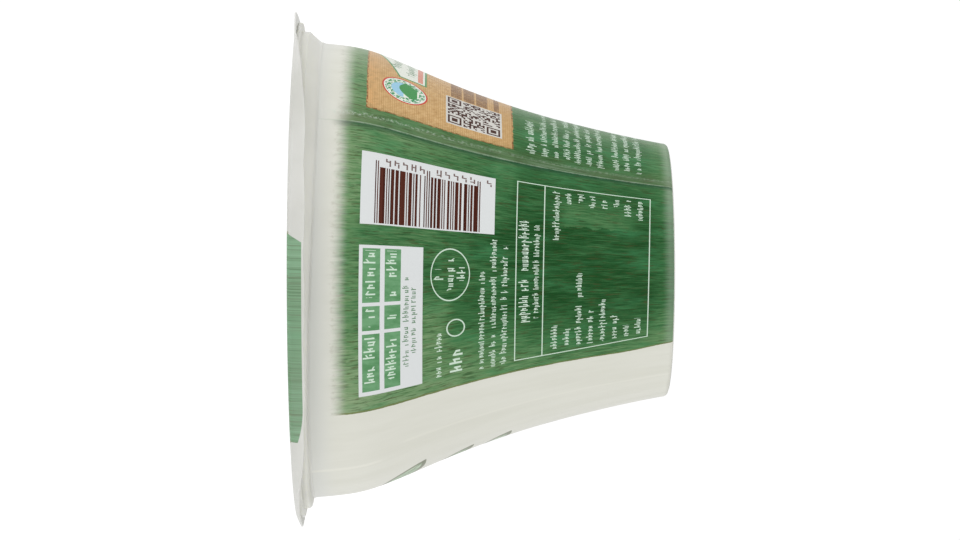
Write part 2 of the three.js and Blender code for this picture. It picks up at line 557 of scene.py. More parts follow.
class _Layout:
    """Places each printed thing of the label."""

    def __init__(
        self,
        paint: Paint,
        azimuth: Value,
        level: Value,
        across: Value,
        height: Value,
        wall: "Wall",
        print_: LabelPrint,
    ) -> None:
        """Keeps the places that the print is laid out by.

        Args:
            paint: The material being made.
            azimuth: Degrees round the pot.
            level: Height in the print's own, slightly slanting rows.
            across: Millimetres round the pot.
            height: Millimetres above the base.
            wall: The pot's wall.
            print_: The label's print sizes.
        """
        self.paint = paint
        self.azimuth = azimuth
        self.level = level
        self.across = across
        self.height = height
        self.wall = wall
        self.print = print_
        self.inks = print_.inks
        self.straight = azimuth * print_.grain_degree

    def box(self, field: Field) -> Value:
        """A mask that is 1 in a rectangle."""
        return self.azimuth.within(field.left, field.right) * self.level.within(field.low, field.high)

    def oval_distance(self, azimuth: float, level: float, half_width: float, half_height: float) -> Value:
        """How far out a place is in an oval, 1 on its edge. The half width is in degrees."""
        u = (self.azimuth - azimuth) * (1 / half_width)
        v = (self.level - level) * (1 / half_height)
        return u.hypot(v)

    def upright_oval(self, height: float, half_width: float, half_height: float) -> Value:
        """An oval in the middle of the front that stays even although the pot flares."""
        flare = (self.height - height) * 0.009 + 1.0
        u = (self.azimuth - self.print.front_middle) * flare * (1 / half_width)
        v = (self.height - height) * (1 / half_height)
        return u.hypot(v)

    def colour(self) -> Socket:
        """The whole label's colour, laid over in the order of printing."""
        colour = self.milky()
        colour = self.front_panel(colour)
        colour = self.planks(colour)
        colour = self.kraft_panel(colour)
        colour = self.boxes(colour)
        colour = self.marks(colour)
        return self.overlap(colour)

    def milky(self) -> Socket:
        """The unprinted label, milky with faint upright streaks and one pale painted highlight line down it.
        """
        paint, inks = self.paint, self.inks
        streaks = paint.pattern(self.straight * 0.25, self.height * 0.03, 2.0, 3.0)
        colour = paint.over(inks.milky, inks.milky_streak, streaks.rising(0.35, 0.75))
        cool = self.height.rising(71.0, 76.0)
        colour = paint.over(colour, inks.milky_top, cool)
        # Painted highlight: a pale line of reflected light down the white part, stronger high up.
        upper = (self.azimuth + 59.3).size().rising(1.0, 0.2) * self.height.rising(60.0, 64.0) * 0.5
        lower = (self.azimuth + 53.5).size().rising(0.9, 0.2) * self.height.rising(59.0, 56.0) * 0.25
        return paint.over(colour, inks.crease_highlight, upper + lower)

    def planks(self, under: Socket) -> Socket:
        """The green field, pale and streaky at its top and foot, with a brown line up its left edge."""
        paint, inks, azimuth, height = self.paint, self.inks, self.azimuth, self.height
        wander = paint.pattern(0.0, height * 0.35, 7.0, 3.0)
        sweep = height.rising(12.0, -2.0) * 2.4 + height.rising(75.0, 5.0) * 2.0
        left = sweep + (wander - 0.5) * 0.5 + self.print.green_left
        # Painted sheen: the green grows paler as the wall turns away from the camera towards +X, from about
        # 12° and again from 46° to 82°. Other terms make it paler towards the field's left end, up the pot
        # and at the foot.
        tone = (azimuth - 3.0).rising(-12.0, -40.0) * 0.42 + (azimuth - 3.0).rising(12.0, 42.0) * 0.2 + 0.02
        tone = tone + height.rising(24.0, 62.0) * 0.33 + height.rising(62.0, 70.0) * 0.16
        tone = tone + azimuth.rising(46.0, 82.0) * 0.2 + height.rising(7.0, 2.0) * 0.16
        patch_edge = paint.pattern(3.0, height * 0.5, 4.0, 2.0) * 4.0 + 14.0
        patch = (azimuth - patch_edge).rising(-0.2, 0.4) * azimuth.rising(29.0, 22.0)
        tone = tone + patch * height.rising(28.0, 22.0) * height.rising(5.0, 12.0) * 0.32
        above_bars = azimuth.rising(8.0, 18.0) * azimuth.rising(38.0, 28.0) * height.rising(63.0, 66.0)
        below_bars = azimuth.rising(12.0, 18.0) * height.rising(39.5, 37.5) * height.rising(33.0, 35.0)
        tone = tone + above_bars * 0.14
        tone = tone + below_bars * 0.12
        by_sign = azimuth.rising(-27.0, -18.0) * azimuth.rising(-6.0, -11.0)
        tone = tone + by_sign * height.rising(46.0, 49.5) * height.rising(55.0, 52.0) * 0.24
        green = self.print.wood.colour(paint, self.straight, height, tone)
        streak = paint.pattern(self.straight * 1.7, height * 0.12, 13.0, 3.0)
        shifted = self.level + (streak - 0.5) * 1.8 + azimuth.rising(38.0, 41.0) * 1.4 + 0.2
        body = shifted.rising(72.6, 68.7)
        spots = paint.pattern(self.straight * 1.6, height * 0.8, 17.0, 3.0)
        at_top = shifted.rising(73.2, 71.8) * shifted.rising(70.2, 71.4)
        speckle = spots.rising(0.48, 0.7) * at_top * 0.24
        faded = spots.rising(0.5, 0.68) * height.rising(68.5, 71.0)
        green = paint.over(green, inks.faded_spot, faded * 0.6)
        # Paler towards the foot where the label turns round the foot's corner, more so towards +X.
        at_foot = (height + (streak - 0.5) * 1.8).rising(2.9, 0.6)
        pale_at_foot = at_foot * (azimuth.rising(8.0, 36.0) * 0.12 + 0.27)
        green = paint.over(green, inks.pale_at_foot, pale_at_foot)
        field = azimuth.within(self.print.green_left - 6.0, self.print.green_right) * (azimuth > left)
        edge = (azimuth - left).within(-0.05, 0.55)
        green = paint.over(green, inks.field_edge, edge * 0.75)
        colour = paint.over(under, green, field * body)
        return paint.over(colour, inks.speckle, speckle * field)

    def kraft_panel(self, under: Socket) -> Socket:
        """Woven kraft paper with a frayed edge, on the green right of the overlap."""
        paint, inks, azimuth, level = self.paint, self.inks, self.azimuth, self.level
        kraft_field = self.print.kraft
        weft_pitch, warp_pitch = 0.52, 0.46
        fray = paint.pattern(self.across * 1.1, level * 1.1, 41.0, 3.0) - 0.5
        frayed_azimuth, frayed_level = azimuth + fray * 0.9, level + fray * 0.7
        worn = frayed_azimuth.within(kraft_field.left, kraft_field.right)
        worn = worn * frayed_level.within(kraft_field.low, kraft_field.high)
        weft = (self.across * (2 * math.pi / weft_pitch)).sine() * 0.5 + 0.5
        warp = (level * (2 * math.pi / warp_pitch)).sine() * 0.5 + 0.5
        fibre = paint.pattern(self.across * 0.8, level * 0.8, 43.0, 4.0)
        tone = weft * warp * 0.3 + fibre * 0.72
        stops = [(0.2, inks.kraft_dark), (0.5, inks.kraft_middle), (0.8, inks.kraft_light)]
        kraft = paint.ramp(tone, stops)
        warm = level.rising(61.5, 64.5) * fibre.rising(0.4, 0.6)
        kraft = paint.over(kraft, inks.kraft_warm, warm * 0.4)
        lower = level.rising(44.0, 35.0) * 0.35
        kraft = paint.over(kraft, inks.kraft_low, lower)
        rim = worn - frayed_azimuth.within(45.6, 107.6) * frayed_level.within(34.4, 64.85)
        kraft = paint.over(kraft, inks.kraft_edge, rim * fibre.rising(0.38, 0.55) * 0.85)
        return paint.over(under, kraft, worn)

    def boxes(self, under: Socket) -> Socket:
        """The white boxes, the bar pattern, the square pattern, the marks on kraft and the outlines."""
        colour = self.sorting_box(under)
        colour = self.bar_box(colour)
        colour = self.square_code(colour)
        colour = self.kraft_marks(colour)
        return self.outlines(colour)

    def sorting_box(self, under: Socket) -> Socket:
        """A white box with two rows of three green cells."""
        paint, inks = self.paint, self.inks
        colour = paint.over(under, inks.paper, self.box(self.print.sorting_box))
        rows = self.level.within(62.0, 65.6).either(self.level.within(57.75, 61.05))
        columns = self.azimuth.within(-31.9, -16.1).either(self.azimuth.within(-15.2, -9.0))
        cells = rows * columns.either(self.azimuth.within(-8.1, 5.4))
        tint = paint.pattern(self.across * 0.5, self.level * 0.2, 3.0, 3.0)
        cell = paint.over(inks.cell_dark, inks.cell_light, tint.rising(0.35, 0.65))
        return paint.over(colour, cell, cells)

    def bar_box(self, under: Socket) -> Socket:
        """A white box of level bars of random widths, which encode nothing."""
        paint, inks = self.paint, self.inks
        low, high, bar = 41.6, 63.4, 0.2295
        figures_foot, figure_pitch = 38.9, 1.75
        colour = paint.over(under, inks.paper, self.box(self.print.bar_box))
        step = ((self.level - low) * (1 / bar)).floor()
        pair = (step * 0.5).floor()
        second = (step * 0.5 - pair) > 0.25
        first_drawn, second_drawn, _ = paint.chance(pair, 11.0)
        dark = (first_drawn > 0.14) * (1 - second) + (second_drawn > 0.66) * second
        guard = step.within(-0.5, 2.5).either(step.within(91.5, 94.5)).either(step.within(45.5, 48.5))
        paired = (step * 0.5 - pair).within(-0.1, 0.1)
        dark = dark * (1 - guard) + paired * guard
        reach = self.azimuth.within(11.8, 27.0).either(self.azimuth.within(11.8, 28.8) * guard)
        brown = paint.over(inks.bar_dark, inks.bar_brown, paint.chance(step, 3.0)[1])
        colour = paint.over(colour, brown, dark * reach * self.level.within(low, high))
        place = (self.level - figures_foot) * (1 / figure_pitch)
        share = place - place.floor()
        left, right, middle = paint.chance(place.floor(), 5.0)
        rise = self.azimuth - 27.55
        stroke = share.near(0.3, 0.09) * (rise < (left * 1.6 + 0.7)) * (rise > 0.0)
        stroke = stroke.either(share.near(0.72, 0.09) * (rise > (1.5 - right * 1.4)) * (rise < 2.2))
        tie = share.within(0.22, 0.8) * rise.near(middle * 1.2 + 0.5, 0.18)
        groups = self.level.within(39.0, 40.6).either(self.level.within(42.4, 51.1))
        figures = stroke.either(tie) * groups.either(self.level.within(52.9, 61.7))
        return paint.over(colour, inks.brown, figures * 0.85)

    def square_code(self, under: Socket) -> Socket:
        """A white square of random dark modules with three corner squares, which encodes nothing."""
        paint, inks = self.paint, self.inks
        code, count = self.print.code, 27.0
        colour = paint.over(under, inks.code_paper, self.box(code.grown(0.6, 0.4)))
        column = ((self.azimuth - code.left) * (count / (code.right - code.left))).floor()
        row = ((self.level - code.low) * (count / (code.high - code.low))).floor()
        dark = paint.chance(column, row + 50.0)[0] > 0.5
        for corner_column, corner_row in ((3.0, 3.0), (3.0, 23.0), (23.0, 23.0)):
            out = (column - corner_column).size().either((row - corner_row).size())
            ring = out.within(2.5, 3.5).either(out.within(-0.5, 1.5))
            inside = out < 4.5
            dark = dark * (1 - inside) + ring * inside
        return paint.over(colour, inks.code_module, dark * self.box(code))

    def kraft_marks(self, under: Socket) -> Socket:
        """On the kraft panel: an oval with a green hill, a gabled white card and brown blocks."""
        paint, inks, azimuth, level = self.paint, self.inks, self.azimuth, self.level
        out = self.oval_distance(57.8, 57.1, 6.3, 4.8)
        colour = paint.over(under, inks.emblem_edge, out < 1.0)
        colour = paint.over(colour, inks.emblem_paper, out < 0.93)
        wreath = paint.pattern(self.across * 1.6, level * 1.6, 8.0, 2.0)
        colour = paint.over(colour, inks.wreath, out.within(0.56, 0.88) * wreath.rising(0.47, 0.53))
        colour = paint.over(colour, inks.sky, (out < 0.6) * (level > 57.4))
        hill = (level - 58.3) + (azimuth - 58.6) * (azimuth - 58.6) * 0.13
        colour = paint.over(colour, inks.hill, (out < 0.62) * (hill < 0.0))
        colour = paint.over(colour, inks.emblem_foot, (out < 0.62) * (level < 54.5))
        roof = (azimuth - 84.0).size() * -0.24 + 62.9
        card = azimuth.within(65.2, 102.8) * (level > 52.5) * (level < roof)
        colour = paint.over(colour, inks.card_edge, card)
        inner = azimuth.within(65.8, 102.2) * (level > 52.9) * ((level + 0.45) < roof)
        colour = paint.over(colour, inks.card, inner)
        colour = paint.over(colour, inks.card_line, self.box(self.print.card_line))
        blocks = level.within(45.0, 47.3).either(level.within(42.3, 44.6)).either(level.within(39.5, 41.9))
        blocks = blocks.either(level.within(37.0, 38.1)) * azimuth.within(66.0, 102.0)
        hatch = paint.pattern(self.across * 2.4, level * 0.5, 12.0, 3.0)
        return paint.over(colour, inks.block, blocks * hatch.rising(0.3, 0.5) * 0.74)

    def outlines(self, under: Socket) -> Socket:
        """The pale outlines: the table's frame and divider, the oval stamp and the round sign."""
        azimuth, level = self.azimuth, self.level
        drop = 33.9 - level
        left = drop * drop * 0.0034 - 32.3
        inside = (azimuth > left) * (azimuth < 31.8)
        inner = (azimuth > left + 0.36) * (azimuth < 31.46)
        table = inside * level.within(5.55, 33.95) - inner * level.within(5.76, 33.74)
        ink = table.either(inside * level.within(27.95, 28.17))
        ink = ink.either(self.oval_distance(-1.4, 47.55, 7.7, 4.1).within(0.95, 1.0))
        ink = ink.either(self.oval_distance(-17.3, 46.3, 2.75, 1.95).within(0.86, 1.0))
        return self.paint.over(under, self.inks.pale, ink * 0.86)

    def text_lines(self) -> list[TextLine]:
        """Every line of marks, from the top of the label down."""
        cells = [TextLine(-30.9, -17.0, 62.9, 1.7, 1.41), TextLine(-14.3, -9.7, 62.9, 1.7, 1.3)]
        cells += [TextLine(-6.9, 4.9, 62.9, 1.7, 1.3), TextLine(-29.4, -18.0, 58.5, 1.6, 1.3)]
        cells += [TextLine(-13.2, -11.6, 58.5, 1.6, 1.3), TextLine(-6.9, 4.9, 58.5, 1.6, 1.3)]
        note = [TextLine(-26.8, -0.7, 56.0, 0.95, 0.86), TextLine(-23.0, -4.4, 54.55, 0.95, 0.86)]
        weight = [TextLine(-32.8, -18.4, 49.1, 1.2, 0.86), TextLine(-32.6, -21.2, 44.6, 2.0, 1.9)]
        stamp = [TextLine(-2.8, 0.2, 49.3, 1.35, 1.05), TextLine(-6.0, 3.4, 46.8, 1.35, 1.05)]
        stamp += [TextLine(-3.2, 0.8, 44.4, 1.35, 1.05)]
        address = [TextLine(-32.8, -0.5, 40.25), TextLine(-32.8, 9.8, 37.85), TextLine(-32.6, 8.0, 35.55)]
        heading = [TextLine(-18.2, 17.0, 31.1, 1.6, 0.84), TextLine(-17.0, 16.0, 28.95, 1.0, 0.62)]
        card = [TextLine(72.0, 98.0, 57.6, 1.9, 1.7), TextLine(69.0, 99.0, 55.0, 1.5, 1.4)]
        ribbon = [TextLine(-161.0, -119.0, 14.6, 1.7, 1.5), TextLine(-154.0, -126.0, 11.4, 1.2, 1.1)]
        opening = cells + note + weight + stamp + address + heading + card
        return opening + self.table_rows() + self.story_lines() + ribbon

    @staticmethod
    def table_rows() -> list[TextLine]:
        """The table's rows, each a word at the left and a figure at the right, at an even pitch."""
        top, pitch, right = 24.85, 2.536, 30.0
        starts = (-29.9, -29.9, -29.7, -29.5, -29.3, -28.8, -28.2, -27.7)
        ends = (-20.5, -22.2, -1.2, -15.5, -11.5, -18.5, -23.2, -20.5)
        figures = (9.3, 25.3, 26.3, 24.7, 24.3, 26.3, 22.5, 21.0)
        lines = []
        for row, (start, end, figure) in enumerate(zip(starts, ends, figures)):
            base = top - pitch * row
            lines += [TextLine(start, end, base), TextLine(figure, right, base)]
        return lines

    @staticmethod
    def story_lines() -> list[TextLine]:
        """The lines right of the overlap: a heading and two paragraphs that start on one margin."""
        margin = 45.0
        story = ((26.8, 101.0), (24.4, 99.0), (21.9, 86.0), (19.6, 100.0), (17.3, 78.0), (14.9, 97.0))
        tail = ((11.5, 100.0), (9.15, 98.0), (6.65, 92.0))
        heading = TextLine(margin, 66.8, 29.55, 1.5, 0.84)
        return [heading] + [TextLine(margin, end, base) for base, end in story + tail]

    def marks(self, under: Socket) -> Socket:
        """Rows of upright ticks with gaps, which stand for words and spell nothing."""
        paint, inks, azimuth, level = self.paint, self.inks, self.azimuth, self.level
        base: Value | float = 0.0
        per_body: Value | float = 0.0
        per_letter: Value | float = 0.0
        row: Value | float = 0.0
        for index, line in enumerate(self.text_lines()):
            low, high = line.base - 0.42 * line.body, line.base + 1.52 * line.body
            here = azimuth.within(line.start, line.end) * level.within(low, high)
            letter = line.width / self.wall.degree(line.base)
            base = here.times_plus(line.base, base)
            per_body = here.times_plus(1 / line.body, per_body)
            per_letter = here.times_plus(1 / letter, per_letter)
            row = here.times_plus(float(index + 1), row)
        along = azimuth * per_letter + row * 0.37
        rise = (level - base) * per_body
        cell = along.floor()
        share = along - cell
        first, second, third = paint.chance(cell, row)
        tall = (first > 0.66) * 0.42 + (third * 0.3 + 0.78)
        deep = first.within(0.15, 0.24) * -0.36 + second * 0.16
        stem = share.near(0.27, 0.125) * (rise < tall) * (rise > deep)
        drawn = share.near(0.7, 0.115) * (second > 0.3)
        other = drawn * (rise > third * 0.4) * (rise < (second * 0.5 + 0.52))
        slope = (share - 0.5) * (first * 2.4 - 1.2)
        tie = share.near(0.5, 0.3) * (third > 0.25) * rise.near(slope + third * 1.1 - 0.1, 0.1)
        ink = stem.either(other).either(tie) * (first > 0.14) * (row > 0.5)
        box_white = self.box(self.print.sorting_note).either(azimuth > 66.5) * (level > 53.0)
        shade = paint.over(inks.pale, inks.green, box_white)
        shade = paint.over(shade, inks.brown, azimuth < -60.0)
        return paint.over(under, shade, ink * 0.85)

    def overlap(self, under: Socket) -> Socket:
        """The label's overlap: a pale cut edge with a painted shadow beside it, and dotted painted
        highlights along the ridge and on the pleats below.
        """
        paint, inks, azimuth, height = self.paint, self.inks, self.azimuth, self.height
        on_print = height.rising(74.0, 70.0) * 0.7 + 0.3
        into = azimuth - self.print.seam
        # Painted shadow: the dark line that the raised cut edge would cast on the sheet below it.
        shadow = into.rising(-2.4, -0.2) * into.rising(0.05, -0.05)
        colour = paint.over(under, inks.seam_shadow, shadow * height.rising(73.0, 69.0) * 0.62)
        strip = azimuth.within(self.print.seam, self.print.ridge)
        olive = (azimuth > self.print.seam) * azimuth.rising(48.0, 44.0) * height.rising(72.0, 69.0)
        colour = paint.over(colour, inks.seam_olive, olive * 0.26)
        colour = paint.over(colour, inks.seam_strip, strip * 0.2 * height.rising(73.0, 69.0))
        patches = paint.pattern(9.0, height * 0.4, 2.0, 3.0)
        cut = azimuth.near(self.print.seam + 0.12, 0.2)
        worn_cut = patches.rising(0.3, 0.65) * 0.4 + 0.1
        colour = paint.over(colour, inks.seam_cut, cut * on_print * worn_cut)
        # Painted highlight: pale dots of light along the ridge where the lapped end steps down over the
        # hidden edge.
        dots = paint.pattern(self.straight * 1.6, height * 1.5, 2.0, 3.0).rising(0.46, 0.62)
        ridge = (azimuth - self.print.ridge).size().rising(1.1, 0.15)
        upper = height.rising(30.0, 64.0) * 0.34 + 0.14
        colour = paint.over(colour, inks.ridge, ridge * dots * upper * on_print)
        # Painted highlights: pale lines of light on fine wrinkles low down in the overlap.
        pleat_highlights = paint.pattern(self.straight * 4.5, height * 0.06, 3.0, 3.0).rising(0.5, 0.72)
        lower = height.rising(62.0, 40.0) * azimuth.within(self.print.seam, self.print.ridge + 1.2)
        return paint.over(colour, inks.pleat, pleat_highlights * lower * 0.5)

    def front_panel(self, under: Socket) -> Socket:
        """The hidden front: an oval with a bowl of curd between two mirrored sprays of leaves."""
        colour = self.sprays(under)
        colour = self.medallion(colour)
        return self.ribbon(colour)

    def sprays(self, under: Socket) -> Socket:
        """Two sprays of leaves, one each side of the middle."""
        paint, inks = self.paint, self.inks
        off = (self.azimuth - self.print.front_middle).size()
        leaves = [
            Leaf((45.0, 64.5), (52.0, 72.0), 4.4),
            Leaf((46.0, 63.5), (69.5, 52.6), 6.6),
            Leaf((46.5, 50.5), (64.0, 42.3), 4.6),
            Leaf((45.5, 41.0), (65.5, 34.2), 4.6),
            Leaf((43.0, 31.5), (56.0, 24.0), 4.4),
            Leaf((46.5, 55.5), (33.0, 65.0), 4.2),
            Leaf((44.0, 36.0), (36.0, 26.0), 3.8),
        ]
        green: Value | float = 0.0
        brown: Value | float = 0.0
        for leaf in leaves:
            fill, outline = self.leaf_masks(off, leaf)
            green = fill.either(green)
            brown = outline.either(brown)
        bend = (self.height - 47.0) * (self.height - 47.0) * -0.012 + 46.5
        stalk = (off - bend).size().within(0.0, 0.55) * self.height.within(24.0, 68.0)
        tone = paint.pattern(self.across * 0.5, self.height * 0.12, 6.0, 3.0)
        fresh = paint.over(inks.leaf_dark, inks.leaf_light, tone.rising(0.35, 0.65))
        colour = paint.over(under, inks.leaf_outline, brown.either(stalk) * 0.9)
        return paint.over(colour, fresh, green)

    def leaf_masks(self, off: Value, leaf: Leaf) -> tuple[Value, Value]:
        """A leaf's fill and its outer shape, both as masks."""
        degree = self.wall.degree((leaf.stalk[1] + leaf.tip[1]) / 2)
        run = (leaf.tip[0] - leaf.stalk[0]) * degree
        rise = leaf.tip[1] - leaf.stalk[1]
        length = math.hypot(run, rise)
        x = (off - leaf.stalk[0]) * degree
        y = self.height - leaf.stalk[1]
        along = (x * (run / length) + y * (rise / length)) * (2 / length) - 1.0
        aside = (y * (run / length) - x * (rise / length)).size()
        bulge = (1 - along * along) * (leaf.width / 2)
        vein = aside > 0.16
        return (bulge > aside + 1.0) * vein, bulge > aside

    def medallion(self, under: Socket) -> Socket:
        """An oval with a ring, and in it a heap of curd on a shallow bowl."""
        paint, inks, middle = self.paint, self.inks, self.print.front_middle
        out = self.upright_oval(46.0, 30.0, 19.0)
        colour = paint.over(under, inks.medallion_ring, out < 1.0)
        colour = paint.over(colour, inks.medallion_paper, out < 0.95)
        inner = self.print.wood.colour(paint, self.across, self.height, out * 0.3 + 0.12)
        colour = paint.over(colour, inner, out < 0.9)
        heap = self.upright_oval(43.5, 17.5, 9.5)
        lumps = paint.pattern(self.across * 0.4, self.height * 0.4, 4.0, 4.0)
        curd = paint.over(inks.curd_dark, inks.curd_light, lumps.rising(0.38, 0.6))
        on_heap = ((heap + (lumps - 0.5) * 0.3) < 1.0) * (self.height > 43.0)
        colour = paint.over(colour, curd, on_heap)
        bowl = self.upright_oval(43.5, 21.0, 10.0)
        clay = paint.over(inks.clay_dark, inks.clay_light, self.height.rising(35.0, 43.0))
        colour = paint.over(colour, clay, (bowl < 1.0) * (self.height < 43.6))
        lip = self.height.within(42.7, 43.6) * (self.azimuth - middle).size().within(-0.1, 21.8)
        return paint.over(colour, inks.bowl_lip, lip)

    def ribbon(self, under: Socket) -> Socket:
        """A kraft ribbon across the foot of the front panel."""
        paint, inks = self.paint, self.inks
        fibre = paint.pattern(self.across * 1.2, self.height * 1.2, 14.0, 4.0)
        stops = [(0.25, inks.ribbon_dark), (0.5, inks.ribbon_middle), (0.8, inks.ribbon_light)]
        kraft = paint.ramp(fibre, stops)
        notch = (self.height - 12.0).size() * -0.45 + 33.0
        reach = (self.azimuth - self.print.front_middle).size() < notch
        return paint.over(under, kraft, reach * self.height.within(7.4, 16.6))


@dataclass(frozen=True)
class FilmPrint:
    """The sealing film: milky, with a green plank field across it and a pressed seal ring."""

    wood: WoodGrain = WoodGrain(
        darkest=srgb(66, 98, 64),
        middle=srgb(100, 134, 100),
        light=srgb(120, 156, 124),
        lightest=srgb(142, 174, 144),
        worn_brown=srgb(96, 96, 70),
        dash=srgb(72, 98, 62),
        fresh_green=srgb(104, 158, 120),
    )
    white: Colour = srgb(199, 199, 194)
    grey: Colour = srgb(192, 192, 186)
    middle_azimuth: float = -16.5
    half_width: float = 22.5
    seal: Point = (49.4, 52.6)
    knurl_pitch: float = 0.9
    oval_size: Point = (17.0, 23.0)
    oval_ring: Colour = srgb(60, 104, 66)
    oval_paper: Colour = srgb(220, 220, 210)
    oval_plate: Colour = srgb(186, 144, 96)
    curd_dark: Colour = srgb(200, 198, 186)
    curd_light: Colour = srgb(232, 231, 223)
    plank_edge: Colour = srgb(120, 124, 84)

    def material(self) -> bpy.types.Material:
        """Builds the film's material."""
        paint = Paint("sealing_film")
        turn = math.radians(self.middle_azimuth)
        aside = (paint.x * math.cos(turn) + paint.y * math.sin(turn)) * (1 / MM)
        along = (paint.y * math.cos(turn) - paint.x * math.sin(turn)) * (1 / MM)
        height = paint.z * (1 / MM)
        drop = (80.9 - height) * 0.55
        on_plank = (aside < (self.half_width - drop)) * (aside > -self.half_width)
        past = (aside + 14.0).at_most(0.0)
        on_plank = on_plank * (height > (past * past * 0.017 + 77.9)).either(along > 0.0)
        tone = paint.pattern(aside * 0.05, along * 0.05, 2.0, 2.0) * 0.6 + 0.15
        green = self.wood.colour(paint, aside, along, tone)
        clouds = paint.noise(paint.position, 55.0, 3.0)
        colour = paint.over(self.white, self.grey, clouds.rising(0.35, 0.7))
        edge = aside.size().near(self.half_width, 0.3) * (drop < 0.2)
        colour = paint.over(colour, green, on_plank)
        colour = paint.over(colour, self.plank_edge, edge * 0.6)
        colour = self.oval(paint, colour, aside, along)
        radius = paint.x.hypot(paint.y) * (1 / MM)
        seal = radius.within(*self.seal)
        per_knurl = 2 * math.pi / (self.knurl_pitch * MM)
        knurl = (paint.x * per_knurl).sine() * (paint.y * per_knurl).sine()
        wrinkle = paint.noise(paint.position, 120.0, 4.0)
        relief = knurl * seal * 0.25 + wrinkle * 0.9
        return paint.finish(
            {
                "Specular IOR Level": 0.4,
                "Subsurface Weight": 0.35,
                "Subsurface Radius": (0.003, 0.003, 0.003),
                "Subsurface Scale": 0.5,
            },
            Base_Color=colour,
            Roughness=wrinkle * 0.14 + 0.24,
            Normal=paint.bump(relief, 0.12 * MM, 0.5),
        )

    def oval(self, paint: Paint, under: Socket, aside: Value, along: Value) -> Socket:
        """An oval in the middle of the film, with a plain heap of curd in it."""
        wide, long = self.oval_size
        out = (aside * aside * (1 / wide**2) + along * along * (1 / long**2)).root()
        colour = paint.over(under, self.oval_ring, out < 1.0)
        colour = paint.over(colour, self.oval_paper, out < 0.95)
        lumps = paint.pattern(aside * 0.3, along * 0.3, 4.0, 4.0)
        ring = out + (lumps - 0.5) * 0.35
        colour = paint.over(colour, self.oval_plate, out < 0.72)
        curd = paint.over(self.curd_dark, self.curd_light, lumps.rising(0.38, 0.62))
        return paint.over(colour, curd, ring < 0.56)


# ---------------------------------------------------------------------------------------------
# Shapes
# ---------------------------------------------------------------------------------------------


@dataclass(frozen=True)
class Wall:
    """The outside of the pot's wall: two curves that meet at a waist."""

    foot: Point = (27.7, 1.2)
    waist: Point = (42.8, 52.2)
    shoulder: Point = (49.66, 77.2)
    foot_lean: float = 0.18
    waist_lean: float = 0.44
    shoulder_lean: float = 0.09
    foot_handle: float = 22.9
    below_waist_handle: float = 12.2
    above_waist_handle: float = 13.8
    shoulder_handle: float = 11.4

    @staticmethod
    def _handle(end: Point, lean: float, rise: float) -> Point:
        """A curve's handle, up or down the wall from its end."""
        return (end[0] + lean * rise, end[1] + rise)

    @lru_cache(maxsize=4096)
    def radius(self, height: float) -> float:
        """The wall's radius at a height, both in millimetres."""
        if height < self.waist[1]:
            start, end = self.foot, self.waist
            first = self._handle(start, self.foot_lean, self.foot_handle)
            last = self._handle(end, self.waist_lean, -self.below_waist_handle)
        else:
            start, end = self.waist, self.shoulder
            first = self._handle(start, self.waist_lean, self.above_waist_handle)
            last = self._handle(end, self.shoulder_lean, -self.shoulder_handle)

        def on_curve(share: float, axis: int) -> float:
            """One coordinate of the cubic curve."""
            rest = 1 - share
            return (
                rest**3 * start[axis]
                + 3 * rest**2 * share * first[axis]
                + 3 * rest * share**2 * last[axis]
                + share**3 * end[axis]
            )

        low, high = 0.0, 1.0
        for _ in range(30):
            middle = (low + high) / 2
            if on_curve(middle, 1) < height:
                low = middle
            else:
                high = middle
        return on_curve(low, 0)

    def degree(self, height: float) -> float:
        """The width of one degree of azimuth at a height, in millimetres."""
        return math.radians(self.radius(height))

    def points(self, low: float, high: float, steps: int, depth: float) -> Outline:
        """Evenly spaced points up the wall, set back by a depth."""
        heights = [low + (high - low) * step / steps for step in range(steps + 1)]
        return [(self.radius(height) - depth, height) for height in heights]


@dataclass(frozen=True)
class Rim:
    """How the rim is out of true: arched from side to side, its neck a lower slope towards +X."""

    arch: float = 0.28
    reach: float = 54.0
    arch_start: float = 79.2
    arch_full: float = 80.0
    squeeze_start: float = 74.5
    squeeze_full: float = 77.0
    squeeze_depth: float = 2.0

    def lift(self, point: Vector) -> float:
        """How far a point is lifted, in metres: the film and flange sink towards both sides."""
        aside = point.x / (self.reach * MM)
        return -self.arch * MM * aside * aside * blend(self.arch_start, self.arch_full, point.z / MM)

    @staticmethod
    def towards_lap(point: Vector) -> float:
        """How far towards +X a point stands, eased from 0 to 1."""
        return blend(0.15, 0.9, 0.5 + 0.5 * math.sin(math.radians(azimuth_of(point))))

    def squeeze(self, point: Vector) -> float:
        """How far a point of the wall's top is pushed down, in metres."""
        share = (point.z / MM - self.squeeze_start) / (self.squeeze_full - self.squeeze_start)
        return self.squeeze_depth * MM * self.towards_lap(point) * min(1.0, max(0.0, share))


